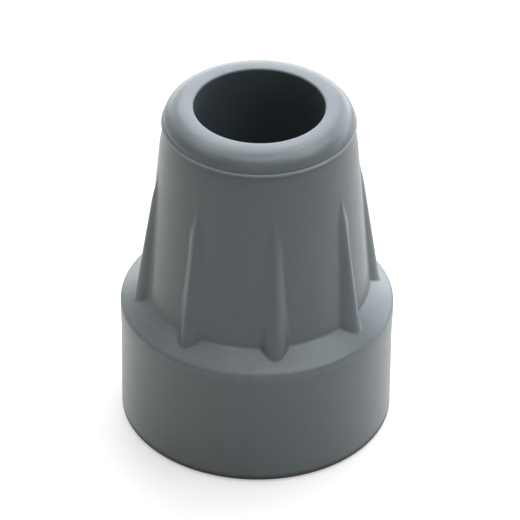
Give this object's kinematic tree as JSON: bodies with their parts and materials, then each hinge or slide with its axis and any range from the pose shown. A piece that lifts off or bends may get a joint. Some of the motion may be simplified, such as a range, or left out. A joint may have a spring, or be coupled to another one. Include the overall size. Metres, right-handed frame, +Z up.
{
  "type": "cane tip",
  "caption": "Moulded rubber cane tip: a ribbed taper with a blind tube socket in a rounded collar, on a flat drum base.",
  "frame": {"origin": "middle of the sole, on the ground", "axes": "+Z up the socket's axis, towards the mouth; one rib points along +X and one along -Y"},
  "size_m": [0.0402, 0.0402, 0.053],
  "materials": {
    "grey_rubber": "matt moulded grey rubber"
  },
  "bodies": {
    "root": {"cane_tip": "grey_rubber"}
  },
  "joints": []
}
